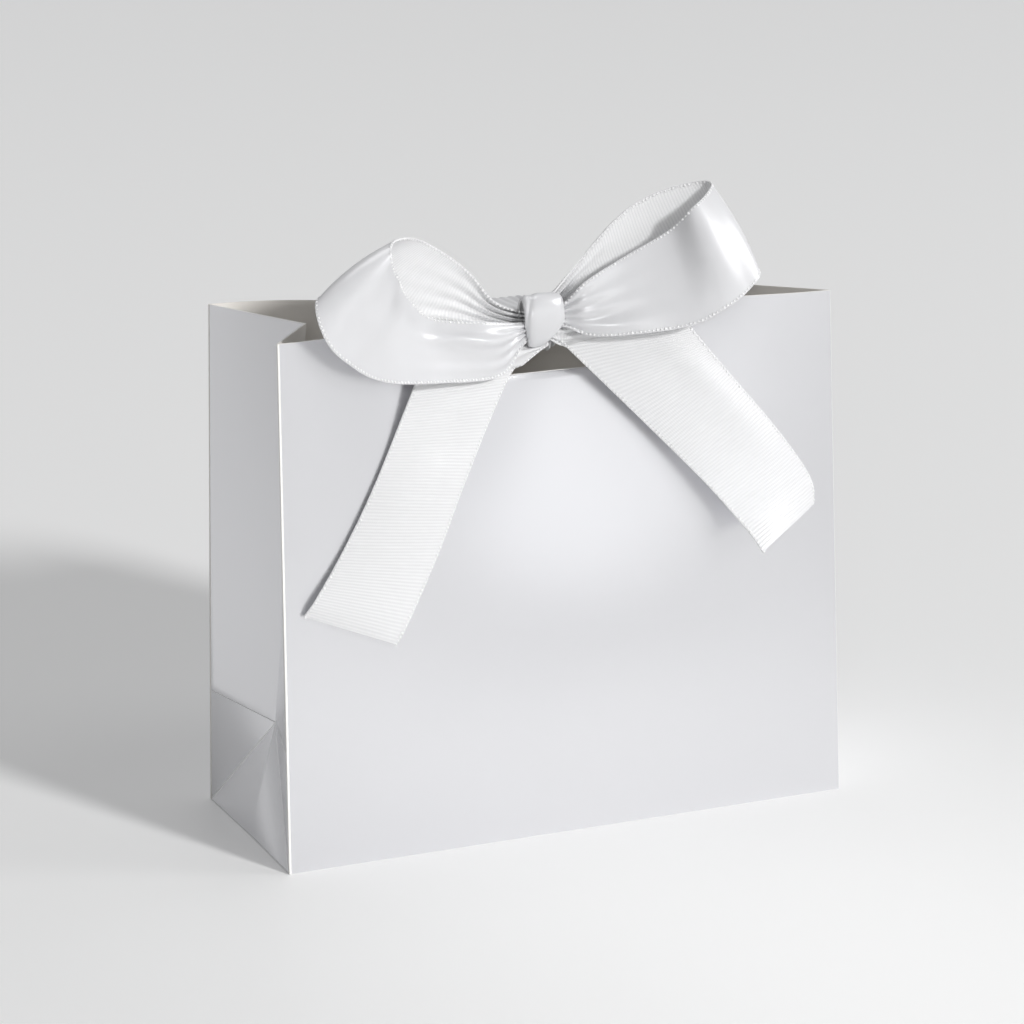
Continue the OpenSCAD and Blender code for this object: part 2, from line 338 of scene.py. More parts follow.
# Closed sheets from an outer and an inner set of points
def linkedMesh(name, points, faces, finishes, faceFinish, sharpAngle=35.0):
    mesh = bpy.data.meshes.new(name)
    mesh.from_pydata((np.asarray(points) * millimetre).tolist(), [], faces)
    for finish in finishes:
        mesh.materials.append(finish)
    mesh.polygons.foreach_set("material_index", faceFinish)
    mesh.polygons.foreach_set("use_smooth", [True] * len(faces))
    mesh.set_sharp_from_angle(angle=math.radians(sharpAngle))
    piece = bpy.data.objects.new(name, mesh)
    bpy.context.collection.objects.link(piece)
    return piece


def gridFaces(rows, cols, closed=False, skip=None):
    faces = []
    for r in range(rows if closed else rows - 1):
        for c in range(cols - 1):
            if skip and skip(r, c):
                continue
            low = r * cols + c
            high = ((r + 1) % rows) * cols + c
            faces.append((low, low + 1, high + 1, high))
    return faces


def turnedOut(outer, inner, faces):
    a, b, c, d = (outer[i] for i in faces[len(faces) // 2])
    i = faces[len(faces) // 2][0]
    if np.dot(np.cross(c - a, d - b), outer[i] - inner[i]) < 0:
        return [tuple(reversed(f)) for f in faces]
    return faces


def rimEdges(faces):
    count = {}
    for f in faces:
        for i, a in enumerate(f):
            b = f[(i + 1) % len(f)]
            key = (min(a, b), max(a, b))
            count.setdefault(key, []).append((a, b))
    return [uses[0] for uses in count.values() if len(uses) == 1]


def closedSheet(outer, inner, faces):
    faces = turnedOut(outer, inner, faces)
    n = len(outer)
    rim = rimEdges(faces)
    back = [tuple(reversed([i + n for i in f])) for f in faces]
    sides = [(b, a, a + n, b + n) for a, b in rim]
    return np.concatenate([outer, inner]), faces, back, sides, rim


# one width here is that of the cream strip painted as a highlight along the glued edge
cardEdges = {"foldRoll": 0.13, "rollSteps": 2, "cutRoll": 0.12, "litEdgeWidth": 0.40, "sharp": 38.0,
             "shoulder": 0.86, "plateSharp": 20.0, "leastSine": 0.2}
cardFinishes = (pearlCard, innerCard, cutEdge, foldLine)
pearlIndex, innerIndex, cutIndex, foldIndex = range(len(cardFinishes))
foldRim = 1
cutRim = 2


# Card piece: silver outside, uncoated inside, white where it was cut and rolled where it folds; front faces
# picked by the last argument are painted in cut-edge cream as a highlight
def cardSheet(name, outer, inner, faces, isCut, body, node, isLitStrip=None):
    points, front, back, sides, rim = closedSheet(np.asarray(outer, float), np.asarray(inner, float), faces)
    cut = [isCut(a, b) for a, b in rim]
    # front faces picked out get the cut-edge cream, a painted highlight along the glued edge
    frontTones = [cutIndex if isLitStrip and isLitStrip(f) else pearlIndex for f in front]
    tones = frontTones + [innerIndex] * len(back) + [cutIndex if c else pearlIndex for c in cut]
    piece = linkedMesh(name, points, front + back + sides, cardFinishes, tones)
    kinds = {(min(a, b), max(a, b)): cutRim if c else foldRim for (a, b), c in zip(rim, cut)}
    shape = bmesh.new()
    shape.from_mesh(piece.data)
    kind = shape.edges.layers.int.new("rimKind")
    for edge in shape.edges:
        edge[kind] = kinds.get(tuple(sorted(v.index for v in edge.verts)), 0)
    rolls = ((foldRim, "foldRoll", cardEdges["rollSteps"], foldIndex), (cutRim, "cutRoll", 1, cutIndex))
    for wanted, roll, steps, tone in rolls:
        rolled = [e for e in shape.edges if e[kind] == wanted]
        bmesh.ops.bevel(shape, geom=rolled, offset=cardEdges[roll] * millimetre, affect="EDGES",
                        segments=steps, profile=0.5, clamp_overlap=True, material=tone)
        for edge in shape.edges:
            if edge[kind] == wanted:
                edge[kind] = 0
    shape.edges.layers.int.remove(kind)
    shape.to_mesh(piece.data)
    shape.free()
    for polygon in piece.data.polygons:
        polygon.use_smooth = True
    piece.data.set_sharp_from_angle(angle=math.radians(cardEdges["sharp"]))
    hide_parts(node)
    if isinstance(body, str):
        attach(piece, body)
    return piece


# Wide panels
panel = {
    "width": 114.0, "depth": 46.0, "height": 99.0, "card": 0.4,
    "lean": 3.5, "draw": 14.0, "drawPower": 2.8, "cornerIn": 1.6,
    "slotWidth": 30.0, "slotHeight": 6.0, "strip": 5.0, "slotRound": 2.79,
    "sideColumns": 34, "middleColumns": 16, "lowerRows": 58, "slotRows": 12, "stripRows": 5,
    "warp": 0.28, "buckle": 0.22, "buckleTop": 0.85,
    "waveAcross": 3.4, "waveSkew": 2.2, "waveShift": 0.4, "waveUp": 4.6, "waveDrift": 1.2,
}
halfBag = panel["width"] / 2


def panelPoint(u, s, depth):
    p = panel
    d = p["draw"] * math.cos(math.pi / 2 * u) ** 2
    power = p["drawPower"]
    out = p["depth"] / 2 - p["lean"] * s - d * s ** power
    drop = p["lean"] ** 2 * s + 2 * p["lean"] * d * s ** power
    drop += (d * power) ** 2 * s ** (2 * power - 1) / (2 * power - 1)
    x = u * (p["width"] / 2 - p["cornerIn"] * s)
    return x, depth - out, p["height"] * s - drop / (2 * p["height"])


def panelGrid():
    p = panel
    slotLow = 1 - (p["strip"] + p["slotHeight"]) / p["height"]
    slotHigh = 1 - p["strip"] / p["height"]
    heights = [slotLow * i / p["lowerRows"] for i in range(p["lowerRows"])]
    for i in range(p["slotRows"]):
        heights.append(slotLow + (slotHigh - slotLow) * (1 - math.cos(math.pi * i / p["slotRows"])) / 2)
    heights += [slotHigh + (1 - slotHigh) * i / p["stripRows"] for i in range(p["stripRows"] + 1)]
    rows = []
    for s in heights:
        q = (2 * s - slotLow - slotHigh) / (slotHigh - slotLow)
        bulge = p["slotRound"] * math.sqrt(max(0.0, 1 - q * q))
        end = (p["slotWidth"] / 2 - p["slotRound"] + bulge) / (p["width"] / 2)
        left = [-1 + (1 - end) * i / p["sideColumns"] for i in range(p["sideColumns"])]
        # this column ends the cream strip painted as a highlight along the glued edge
        left[1] = -1 + cardEdges["litEdgeWidth"] / (p["width"] / 2)
        middle = [-end + 2 * end * i / p["middleColumns"] for i in range(p["middleColumns"] + 1)]
        rows.append([(u, s) for u in left + middle + [-u for u in reversed(left)]])
    return rows


def makePanel(name, node, turn, glued):
    p = panel
    rows = panelGrid()
    cols = len(rows[0])
    spots = [spot for row in rows for spot in row]
    first = p["lowerRows"]
    last = p["lowerRows"] + p["slotRows"]
    start = p["sideColumns"]
    stop = p["sideColumns"] + p["middleColumns"]
    faces = gridFaces(len(rows), cols, skip=lambda r, c: first <= r < last and start <= c < stop)
    used = {i for f in faces for i in f}
    order = {old: new for new, old in enumerate(sorted(used))}
    faces = [tuple(order[i] for i in f) for f in faces]
    spots = [spots[i] for i in sorted(used)]

    def warped(u, s, depth):
        # the card springs out a little between its creases
        x, y, z = panelPoint(u, s, depth)
        y -= p["warp"] * math.sin(math.pi * s) * (1 - u ** 4)
        free = (1 - u ** 6) * math.sin(math.pi * min(s, p["buckleTop"]) / p["buckleTop"])
        sideWave = math.sin(p["waveAcross"] * u + p["waveSkew"] * s - p["waveShift"])
        y -= p["buckle"] * free * sideWave * math.sin(p["waveUp"] * s + p["waveDrift"] * u)
        return (turn * x, turn * y, z)

    def isCut(a, b):
        (u1, s1), (u2, s2) = spots[a], spots[b]
        if max(s1, s2) < 1e-6:
            return False
        if min(u1, u2) > 1 - 1e-6:
            return False
        if max(u1, u2) < -1 + 1e-6:
            return glued
        return True

    outer = [warped(u, s, 0.0) for u, s in spots]
    inner = [warped(u, s, p["card"]) for u, s in spots]
    # a narrow strip of the front face along the glued edge is painted in cut-edge cream: a painted highlight
    # where the lit cut edge shows
    litStripEnd = -1 + 1.1 * cardEdges["litEdgeWidth"] / (p["width"] / 2)
    cardSheet(name, outer, inner, faces, isCut, node, node,
              lambda f: glued and max(spots[i][0] for i in f) < litStripEnd)


makePanel("frontPanelCard", "front_panel", 1, True)
makePanel("backPanelCard", "back_panel", -1, False)

glueFlap = {"start": 55.2, "width": 10.0, "rows": 40, "columns": 8, "behind": 0.45,
            "foot": 0.03, "tall": 0.95}


def makeGlueFlap(settings):
    rows, cols = settings["rows"] + 1, settings["columns"] + 1

    def at(r, c, depth):
        s = settings["foot"] + settings["tall"] * r / settings["rows"]
        u = -(settings["start"] - settings["width"] * c / settings["columns"]) / halfBag
        return panelPoint(u, s, depth)

    near = settings["behind"]
    outer = [at(r, c, near) for r in range(rows) for c in range(cols)]
    inner = [at(r, c, near + panel["card"]) for r in range(rows) for c in range(cols)]
    cardSheet("glueFlapCard", outer, inner, gridFaces(rows, cols), lambda a, b: True,
              "front_panel", "seam_flap")


makeGlueFlap(glueFlap)
print("wide panels made")


# Gussets: two halves above the shelf crease, lower corners and leaning triangles
gusset = {"half": 22.6, "rows": 44, "columns": 14, "bulge": 0.45, "hemIn": 0.25, "footLift": 0.1}


def gussetPoints(settings):
    half = settings["half"]
    card = panel["card"]
    lean = math.atan(panel["lean"] / panel["height"])
    top = np.array([panel["cornerIn"] - halfBag + card, panel["lean"] - half, panelPoint(1, 1, 0)[2]])
    foot = np.array([card - halfBag, -half, settings["footLift"]])
    share = half / panel["height"]
    shelf = np.array([panel["cornerIn"] * share - halfBag + card, panel["lean"] * share - half,
                      panelPoint(1, share, 0)[2]])
    goreZ = half * math.tan(math.pi / 4 - lean / 2)
    gore = np.array([card - halfBag + math.sqrt(half ** 2 - goreZ ** 2), 0.0, goreZ])
    peakX = top[0] + math.sqrt(half ** 2 - (half - panel["lean"]) ** 2)
    rise = math.sqrt((panel["height"] - half) ** 2 - (peakX - gore[0]) ** 2)
    peak = np.array([peakX, 0.0, goreZ + rise])
    angle = math.atan2(peakX - top[0], half - panel["lean"])
    out = card * np.array([-math.cos(angle), math.sin(angle), 0.0])
    return {"top": top, "foot": foot, "shelf": shelf, "gore": gore, "peak": peak, "out": out,
            "hem": np.array([card - halfBag + settings["hemIn"], 0.0, settings["footLift"]])}


def patch(a, b, c, d, rows, cols, out, bulge=0.0):
    inner = []
    outer = []
    unit = out / np.linalg.norm(out)
    for r in range(rows + 1):
        for q in range(cols + 1):
            h, v = r / rows, q / cols
            point = (a * (1 - v) + b * v) * (1 - h) + (d * (1 - v) + c * v) * h
            point = point + unit * bulge * math.sin(math.pi * h) * math.sin(math.pi * v)
            inner.append(point)
            outer.append(point + out)
    return np.array(outer), np.array(inner)


# Three-cornered card plate whose outer edges roll over into its folds
def trianglePlate(node, corners, out):
    roll = cardEdges["foldRoll"]
    inner = np.array(corners, float)
    outer = inner + out
    normal = np.cross(outer[1] - outer[0], outer[2] - outer[0])
    flip = normal @ out < 0
    inset = []
    for i in range(3):
        here, after, before = outer[i], outer[(i + 1) % 3], outer[(i + 2) % 3]
        a = (after - here) / np.linalg.norm(after - here)
        b = (before - here) / np.linalg.norm(before - here)
        inset.append(here + (a + b) * roll / max(np.linalg.norm(np.cross(a, b)), cardEdges["leastSine"]))
    shoulder = inner + out * cardEdges["shoulder"]
    points = np.concatenate([inset, shoulder, inner])
    faces = [(0, 1, 2), (8, 7, 6)]
    tones = [pearlIndex, innerIndex]
    for i in range(3):
        k = (i + 1) % 3
        faces += [(i, i + 3, k + 3, k), (i + 3, i + 6, k + 6, k + 3)]
        tones += [foldIndex, pearlIndex]
    if flip:
        faces = [tuple(reversed(f)) for f in faces]
    piece = linkedMesh(node.replace("_", "-") + "-card", points, faces, cardFinishes, tones,
                       cardEdges["plateSharp"])
    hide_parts(node)
    return piece


def makeGussets(settings):
    g = gussetPoints(settings)
    for sideName, sx in (("left", 1), ("right", -1)):
        for endName, sy in (("front", 1), ("rear", -1)):
            turn = np.array([sx, sy, 1])
            rows, cols = settings["rows"], settings["columns"]
            outer, inner = patch(g["shelf"], g["gore"], g["peak"], g["top"], rows, cols, g["out"],
                                 settings["bulge"])
            topRow = rows * (cols + 1)
            node = f"{sideName}_gusset_{endName}"
            piece = cardSheet(node.replace("_", "-") + "-card", outer * turn, inner * turn,
                              gridFaces(rows + 1, cols + 1), lambda a, b: min(a, b) >= topRow, None, node)
            low = Vector(g["shelf"] * turn) * millimetre
            high = Vector((low.x, low.y, g["top"][2] * millimetre))
            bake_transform(piece)
            node = f"{sideName}_corner_{endName}"
            plate = [p * turn for p in (g["foot"], g["gore"], g["shelf"])]
            piece = trianglePlate(node, plate, g["out"] * turn)
            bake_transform(piece)
            node = f"{sideName}_gable_{endName}"
            plate = [p * turn for p in (g["foot"], g["hem"], g["gore"])]
            piece = trianglePlate(node, plate, g["out"] * turn)
            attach(piece, "base")


makeGussets(gusset)
print("gussets made")


# Base flaps
baseFlaps = {
    "reach": 34.0, "side": 24.0, "steps": 16, "sideGap": 0.2, "endGap": 0.3,
    "frontTaper": (0, 1, 3), "stepFrom": 1.1, "stepTo": 0.3,
    "sideIn": 0.7, "sideStraight": 9, "sideTaper": (0.9, 4.2, 9.9),
}


def makeFlap(name, node, path, halfWidths, turn):
    card = panel["card"]
    steps = baseFlaps["steps"]
    outer = []
    inner = []
    for (y, z), wide in zip(path, halfWidths):
        for c in range(steps + 1):
            x = wide * (2 * c / steps - 1)
            outer.append(turn @ np.array([x, y, z]))
            inner.append(turn @ np.array([x, y, z + card]))
    cardSheet(name, outer, inner, gridFaces(len(path), steps + 1),
              lambda a, b: min(a, b) > steps or abs(a - b) > 1, "base", node)


def makeBase(settings):
    card = panel["card"]
    wide = halfBag - card - settings["sideGap"]
    far = gusset["half"] - settings["endGap"]
    edge = settings["reach"] - gusset["half"]
    same = np.eye(3)
    turned = np.diag([-1.0, -1.0, 1.0])
    frontPath = [(-far, 0), (-far / 3, 0), (edge, 0)]
    frontWidths = [wide - taper for taper in settings["frontTaper"]]
    makeFlap("baseFrontCard", "base_front_flap", frontPath, frontWidths, same)
    rearPath = [(-far, 0), (-edge - settings["stepFrom"], 0), (-edge - settings["stepTo"], card),
                (far / 3, card), (edge, card)]
    makeFlap("baseRearCard", "base_rear_flap", rearPath, [wide] * 5, turned)
    quarter = np.array([[0.0, 1, 0], [-1, 0, 0], [0, 0, 1]])
    sidePath = [(-wide + settings["sideIn"], 2 * card), (-wide + settings["sideStraight"], 2 * card),
                (settings["side"] - wide + settings["sideIn"], 2 * card)]
    sideWidths = [far - taper for taper in settings["sideTaper"]]
    makeFlap("baseLeftCard", "base_left_flap", sidePath, sideWidths, quarter)
    makeFlap("baseRightCard", "base_right_flap", sidePath, sideWidths, turned @ quarter)


makeBase(baseFlaps)
print("base made")


# Ribbon: edge points in millimetres from the middle of the knot
# A dent is its place along and across, its length and width, and its height
knotPlace = np.array([-1.0, -11.87, 96.96])
ribbonCut = {
    "width": ribbonWidth, "thickness": 0.26, "spanSteps": 14, "across": 26, "sharp": 60.0,
    "crownStart": 2.0, "crownRamp": 12.0, "endEase": 8, "endFlat": 0.5, "curlLength": 4.5,
    "frontPleat": 0.45, "rearGain": 1.15, "pleatPhase": 0.7,
}

leftLoop = {
    "low": [[-0.8, -0.4, -2.4], [-4.2, -1, -4.2], [-9.7, -3.5, -9.1], [-23.6, -8.5, -8], [-35.8, -12.5, -5.8],
            [-44.1, -14.5, -1.3], [-48.1, -14.5, 4], [-48.4, -11.5, 9.6], [-42.5, -5.5, 8.5],
            [-32, -2, 4], [-19, 0.5, 1.4], [-10, 1, -0.6], [-4.2, 1.2, -2], [-0.8, 1.0, -1.2]],
    "high": [[-0.8, -0.6, 0.6], [-4.2, -1.2, 0], [-12, -2.6, 1.2], [-22.4, -2.2, 2.6], [-27.5, -4, 6.8],
             [-31.2, -6.4, 11.6], [-33, -9.3, 16], [-31.2, -6.3, 18.4], [-25.3, -1.5, 17.6],
             [-19.6, 0.7, 14.6], [-13.3, 1.9, 9.6], [-8.8, 1.9, 4], [-4.2, 1.9, 1.8], [-0.8, 1.4, 1.4]],
    "outward": -1, "camber": 1.0, "pleats": 4.5, "pleatDepth": 1.15, "pleatReach": 7.5,
    "dents": [(17.0, 0.66, 8.0, 0.15, 2.2), (41.0, 0.5, 3.4, 1.6, 0.8)],
}
rightLoop = {
    "low": [[0.8, -0.4, -1.0], [4.2, -1, -1.4], [8.9, -3.5, -3.2], [17.5, -7.5, -2.8], [26.6, -10.5, -1.4],
            [33.1, -11.5, 1.6], [37.7, -10.5, 4.1], [41, -8.5, 6.7], [39.5, -4.5, 7.2],
            [30, -1, 6], [19.5, 1.5, 4], [4.2, 1.5, 0], [0.8, 1.0, -0.2]],
    "high": [[0.8, -0.6, 2.2], [4.2, -1.2, 3], [7.6, -3, 7], [16.3, -1, 10.5], [26.1, 0, 14.6],
             [30, -1.6, 18.7], [33.5, 0.2, 20.4], [36.5, 3.3, 22.2], [35, 6.5, 22.2],
             [26.5, 8.5, 20], [17.8, 7.5, 15.5], [4.2, 2.5, 5], [0.8, 1.4, 3.0]],
    "outward": 1, "camber": 0.8, "pleats": 4.2, "pleatDepth": 1.0, "pleatReach": 6.5,
    "dents": [(13.0, 0.12, 6.0, 0.12, 0.9)],
}
leftTail = {
    "low": [[-0.6, 0.6, -3.6], [-3.4, 0.2, -5.5], [-14, -2.4, -3.6], [-25.3, -4.6, -5.0], [-28.0, -5.3, -9.8],
            [-36, -7.8, -24.5], [-44.2, -9.6, -37.9], [-51.7, -11.2, -48]],
    "high": [[0.8, 0.6, -3.6], [1.5, 0.2, -5.0], [-0.6, 0.4, -6.4], [-3.4, 0.3, -8.2], [-6.85, -0.2, -10.6],
             [-18.1, -6.6, -27.2], [-25.1, -9.1, -40.6], [-34, -12.1, -55.3]],
    "outward": 1, "camber": 0.9, "pleats": 2.6, "pleatDepth": 0.7, "pleatReach": 9.0,
    "endCurl": 0.9, "dents": [(32.0, 0.62, 5.0, 0.25, -1.0), (46.0, 0.35, 9.0, 0.4, 0.5)],
}
rightTail = {
    "low": [[0.6, 0.6, -3.0], [3.9, 0.3, -5.2], [4.2, 0.1, -5.3], [4.6, -0.1, -5.5], [5, -0.3, -5.7],
            [18.5, -8, -20.8], [27.3, -14.1, -31.1], [33.7, -16.9, -39.3], [35.8, -21.4, -43.3]],
    "high": [[0.8, 0.6, -1.6], [3.9, 0.3, -2.2], [13, -1.8, -0.4], [25.4, -4.8, 0.6], [28.2, -5.5, -2.9],
             [35.1, -6.4, -11.5], [44.7, -8.8, -23.5], [51.1, -9.8, -32.9], [52.1, -11, -38.3]],
    "outward": 1, "camber": 0.9, "pleats": 2.2, "pleatDepth": 0.5, "pleatReach": 8.0,
    "endCurl": 0.5, "dents": [(30.0, 0.75, 14.0, 0.16, 0.8), (46.0, 0.4, 8.0, 0.3, -0.5)],
}


def smoothRail(points, steps):
    p = np.array(points, float)
    found = []
    for i in range(len(p) - 1):
        a, b, c, d = p[max(i - 1, 0)], p[i], p[i + 1], p[min(i + 2, len(p) - 1)]
        for k in range(steps):
            t = k / steps
            cubic = 2 * b + (c - a) * t + (2 * a - 5 * b + 4 * c - d) * t ** 2
            found.append(0.5 * (cubic + (3 * b - a - 3 * c + d) * t ** 3))
    found.append(p[-1])
    return np.array(found)


def surfaceNormals(grid, closed=False):
    if closed:
        along = np.roll(grid, -1, axis=0) - np.roll(grid, 1, axis=0)
    else:
        along = np.gradient(grid, axis=0)
    across = np.gradient(grid, axis=1)
    normal = np.cross(along, across)
    return normal / np.maximum(np.linalg.norm(normal, axis=2, keepdims=True), 1e-9)


def runLength(line):
    return np.concatenate([[0], np.cumsum(np.linalg.norm(np.diff(line, axis=0), axis=1))])


# Strip between two rails, crowned across, pleated towards the knot and dented where it folds
def ribbonGrid(settings, bothEnds):
    low = smoothRail(settings["low"], ribbonCut["spanSteps"])
    high = smoothRail(settings["high"], ribbonCut["spanSteps"])
    v = np.linspace(0, 1, ribbonCut["across"] + 1)[None, :, None]
    grid = low[:, None, :] * (1 - v) + high[:, None, :] * v
    normal = surfaceNormals(grid) * settings["outward"]
    along = runLength((low + high) / 2)
    near = np.minimum(along, along[-1] - along) if bothEnds else along
    fade = np.clip((near - ribbonCut["crownStart"]) / ribbonCut["crownRamp"], 0, 1)
    fade = fade * fade * (3 - 2 * fade)
    if not bothEnds:
        ease = np.clip((along - along[-1] + ribbonCut["endEase"]) / ribbonCut["endEase"], 0, 1)
        fade = fade * (1 - ribbonCut["endFlat"] * ease)
    share = v[:, :, 0]
    lift = settings["camber"] * fade[:, None] * 4 * share * (1 - share)
    pleat = np.exp(-near / settings["pleatReach"])[:, None]
    if bothEnds:
        # the front layer is drawn smooth and the rear one takes up the gathers
        pleat = pleat * (ribbonCut["frontPleat"] + ribbonCut["rearGain"] * along / along[-1])[:, None]
    waves = np.cos(2 * math.pi * settings["pleats"] * share + ribbonCut["pleatPhase"])
    lift = lift + settings["pleatDepth"] * pleat * waves
    for centre, middle, length, width, height in settings["dents"]:
        spot = np.exp(-((along - centre) / length) ** 2)[:, None] * np.exp(-((share - middle) / width) ** 2)
        lift = lift + height * spot
    if not bothEnds:
        curl = np.clip((along - along[-1] + ribbonCut["curlLength"]) / ribbonCut["curlLength"], 0, 1)
        lift = lift - settings["endCurl"] * curl[:, None] ** 2
    return grid + normal * lift[:, :, None] + knotPlace


def ribbonPiece(name, grid, outward, closed=False, thickness=None, ribsOut=False):
    thick = ribbonCut["thickness"] if thickness is None else thickness
    rows, cols = grid.shape[:2]
    normal = surfaceNormals(grid, closed) * outward
    outer = (grid + normal * thick / 2).reshape(-1, 3)
    inner = (grid - normal * thick / 2).reshape(-1, 3)
    points, front, back, sides, rim = closedSheet(outer, inner, gridFaces(rows, cols, closed))
    tones = [0] * len(front) + [1] * len(back) + [2] * len(sides)
    faces = (ribbedFace, satinFace, selvedge) if ribsOut else (satinFace, ribbedFace, selvedge)
    piece = linkedMesh(name, points, front + back + sides, faces, tones, ribbonCut["sharp"])
    along = runLength(grid[:, cols // 2])
    place = np.zeros((rows * cols, 2))
    for r in range(rows):
        place[r * cols:(r + 1) * cols, 0] = along[r] / ribbonCut["width"]
        place[r * cols:(r + 1) * cols, 1] = np.linspace(0, 1, cols)
    layer = piece.data.uv_layers.new(name="weave")
    corners = np.zeros(len(piece.data.loops), np.int32)
    piece.data.loops.foreach_get("vertex_index", corners)
    layer.data.foreach_set("uv", place[corners % (rows * cols)].ravel())
    return piece


# Selvedge stitches along both edges of a strip
stitches = {"spacing": 0.78, "length": 0.58, "width": 0.58, "inset": 0.34, "seed": 7,
            "segments": 7, "rings": 5, "smallest": 0.8, "largest": 1.2}


def makeStitchTree():
    tree = bpy.data.node_groups.new("selvedgeStitches", "GeometryNodeTree")
    face = tree.interface
    face.new_socket("Edges", in_out="INPUT", socket_type="NodeSocketGeometry")
    for name in ("Stitch spacing", "Stitch length", "Stitch width"):
        face.new_socket(name, in_out="INPUT", socket_type="NodeSocketFloat")
    face.new_socket("Thread", in_out="INPUT", socket_type="NodeSocketMaterial")
    face.new_socket("Stitches", in_out="OUTPUT", socket_type="NodeSocketGeometry")

    def add(kind, **settings):
        made = tree.nodes.new(kind)
        for name, value in settings.items():
            setattr(made, name, value)
        return made

    def join(source, output, target, socket):
        tree.links.new(source.outputs[output], target.inputs[socket])

    given = add("NodeGroupInput")
    curve = add("GeometryNodeMeshToCurve")
    spaced = add("GeometryNodeResampleCurve", mode="LENGTH")
    ball = add("GeometryNodeMeshUVSphere")
    ball.inputs["Segments"].default_value = stitches["segments"]
    ball.inputs["Rings"].default_value = stitches["rings"]
    ball.inputs["Radius"].default_value = 0.5
    size = add("ShaderNodeCombineXYZ")
    shaped = add("GeometryNodeTransform")
    tangent = add("GeometryNodeInputTangent")
    aligned = add("FunctionNodeAlignRotationToVector", axis="X")
    wobble = add("FunctionNodeRandomValue", data_type="FLOAT")
    wobble.inputs[2].default_value = stitches["smallest"]
    wobble.inputs[3].default_value = stitches["largest"]
    wobble.inputs["Seed"].default_value = stitches["seed"]
    placed = add("GeometryNodeInstanceOnPoints")
    real = add("GeometryNodeRealizeInstances")
    smooth = add("GeometryNodeSetShadeSmooth")
    dressed = add("GeometryNodeSetMaterial")
    result = add("NodeGroupOutput")
    join(given, "Edges", curve, "Mesh")
    join(curve, "Curve", spaced, "Curve")
    join(given, "Stitch spacing", spaced, "Length")
    join(given, "Stitch length", size, "X")
    join(given, "Stitch width", size, "Y")
    join(given, "Stitch width", size, "Z")
    join(ball, "Mesh", shaped, "Geometry")
    join(size, "Vector", shaped, "Scale")
    join(tangent, "Tangent", aligned, "Vector")
    join(spaced, "Curve", placed, "Points")
    join(shaped, "Geometry", placed, "Instance")
    join(aligned, "Rotation", placed, "Rotation")
    join(wobble, 1, placed, "Scale")
    join(placed, "Instances", real, "Geometry")
    join(real, "Geometry", smooth, "Geometry")
    join(smooth, "Geometry", dressed, "Geometry")
    join(given, "Thread", dressed, "Material")
    join(dressed, "Geometry", result, "Stitches")
    return tree


stitchTree = makeStitchTree()


def stitchedEdges(name, lines):
    points = np.concatenate(lines) * millimetre
    links = []
    start = 0
    for line in lines:
        links += [(start + i, start + i + 1) for i in range(len(line) - 1)]
        start += len(line)
    mesh = bpy.data.meshes.new(name + "-line")
    mesh.from_pydata(points.tolist(), links, [])
    holder = bpy.data.objects.new(name + "-line", mesh)
    bpy.context.collection.objects.link(holder)
    modifier = holder.modifiers.new("stitches", "NODES")
    modifier.node_group = stitchTree
    sizes = {"Stitch spacing": stitches["spacing"], "Stitch length": stitches["length"],
             "Stitch width": stitches["width"]}
    for item in stitchTree.interface.items_tree:
        if item.name in sizes:
            modifier[item.identifier] = sizes[item.name] * millimetre
        if item.name == "Thread":
            modifier[item.identifier] = selvedge
    seen = holder.evaluated_get(bpy.context.evaluated_depsgraph_get())
    plain = bpy.data.meshes.new_from_object(seen)
    plain.name = name
    bpy.data.objects.remove(holder)
    piece = bpy.data.objects.new(name, plain)
    bpy.context.collection.objects.link(piece)
    return piece


# One row of thread a little inside each edge
def edgeLines(grid):
    lines = []
    for edge, inner in ((grid[:, 0], grid[:, 1]), (grid[:, -1], grid[:, -2])):
        away = inner - edge
        step = np.maximum(np.linalg.norm(away, axis=1, keepdims=True), 1e-6)
        lines.append(edge + away / step * stitches["inset"])
    return lines


def makeStrip(name, settings, bothEnds, nodes):
    grid = ribbonGrid(settings, bothEnds)
    piece = ribbonPiece(name, grid, settings["outward"], ribsOut=not bothEnds)
    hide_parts(*nodes)
    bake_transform(piece)
    thread = stitchedEdges(name + "Stitches", edgeLines(grid))
    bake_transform(thread)
    length = float(np.mean([runLength(grid[:, c])[-1] for c in range(grid.shape[1])]))
    print(name, "length", round(length, 1), "mm")


makeStrip("leftLoopRibbon", leftLoop, True, ["left_loop"])
makeStrip("rightLoopRibbon", rightLoop, True, ["right_loop"])
makeStrip("leftTailRibbon", leftTail, False, ["left_tail_root", "left_tail"])
makeStrip("rightTailRibbon", rightTail, False, ["right_tail_root", "right_tail"])
print("loops and tails made")


# Gathered ribbon round the two strips of card
sling = {
    "left": -5.1, "right": 3.3, "yLow": 8.62, "yHigh": 6.75, "low": 90.78, "high": 97.9, "round": 1.6,
    "middle": 94.5, "thickness": 0.2, "around": 160, "across": 60, "bendSteps": 8,
    "pleats": 5.0, "pleatDepth": 0.70, "pleatFoot": 1.15, "calmTop": 1.05, "calmPower": 3,
    "wander": 0.5, "wanderTurns": 2, "probe": 3,
}


def roundedPath(corners, radius, count):
    path = []
    n = len(corners)
    for i in range(n):
        before, here, after = (np.array(corners[k % n], float) for k in (i - 1, i, i + 1))
        into = here + (before - here) / np.linalg.norm(before - here) * radius
        out = here + (after - here) / np.linalg.norm(after - here) * radius
        for k in range(sling["bendSteps"] + 1):
            t = k / sling["bendSteps"]
            path.append((1 - t) ** 2 * into + 2 * t * (1 - t) * here + t ** 2 * out)
    path = np.array(path + [path[0]])
    run = runLength(path)
    even = np.linspace(0, run[-1], count + 1)[:-1]
    return np.stack([np.interp(even, run, path[:, k]) for k in range(2)], axis=1)


